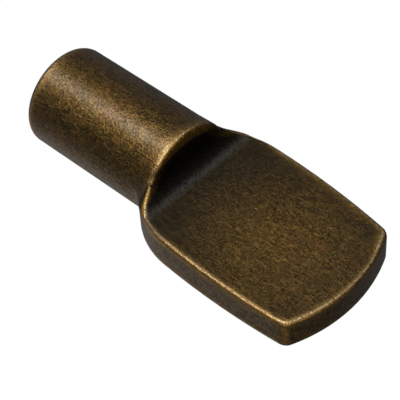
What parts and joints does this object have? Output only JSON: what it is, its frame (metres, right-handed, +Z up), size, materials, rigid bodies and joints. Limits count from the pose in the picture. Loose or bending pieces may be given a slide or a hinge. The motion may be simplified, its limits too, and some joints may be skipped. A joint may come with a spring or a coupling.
{
  "type": "shelf support pin",
  "caption": "Spoon-shaped shelf support: a round push-in pin that widens through a stepped shoulder into a flat seat with softly bowed edges.",
  "frame": {"origin": "on the pin's axis, in the plane of the cabinet's side, where the flare of the seat stops the pin", "axes": "+X along the pin towards the outer end of the seat, +Y across the seat, +Z up, out of the face that carries the shelf"},
  "size_m": [0.0177, 0.0076, 0.005],
  "materials": {
    "antique_brass": "antique brass: dark bronze patina, rubbed bright along the edges"
  },
  "bodies": {
    "root": {"shelf_pin": "antique_brass"}
  },
  "joints": []
}
